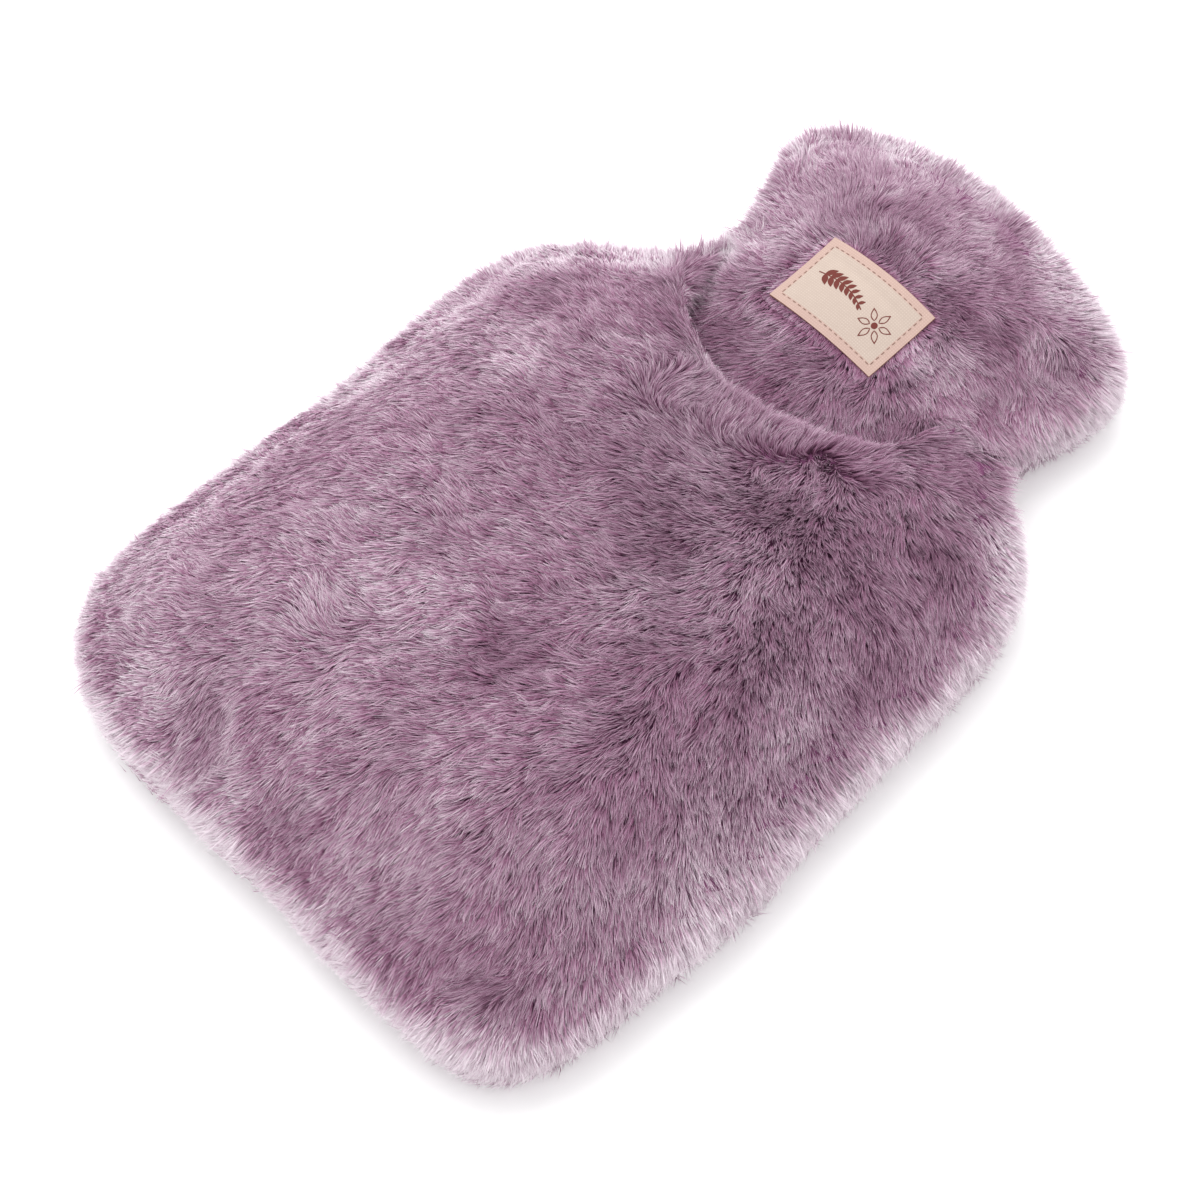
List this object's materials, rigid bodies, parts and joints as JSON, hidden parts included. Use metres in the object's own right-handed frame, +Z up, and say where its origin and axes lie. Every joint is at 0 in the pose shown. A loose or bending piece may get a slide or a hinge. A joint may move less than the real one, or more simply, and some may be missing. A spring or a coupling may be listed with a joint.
{
  "type": "hot water bottle cover",
  "caption": "Plush hot water bottle cover, lying on its back and filled out, with an overlapping mouth below its neck and a blank woven label.",
  "frame": {"origin": "under the middle of the cover, on the surface that it rests on", "axes": "+X across the cover, +Y from the bottom edge to the head, +Z up out of the front"},
  "size_m": [0.2222, 0.3422, 0.0603],
  "materials": {
    "plush": "long-pile plush, mauve",
    "label_cloth": "woven cotton, cream"
  },
  "bodies": {
    "root": {"back_panel": "plush", "front_panel": "plush", "neck_panel": "plush", "label": "label_cloth"}
  },
  "joints": []
}
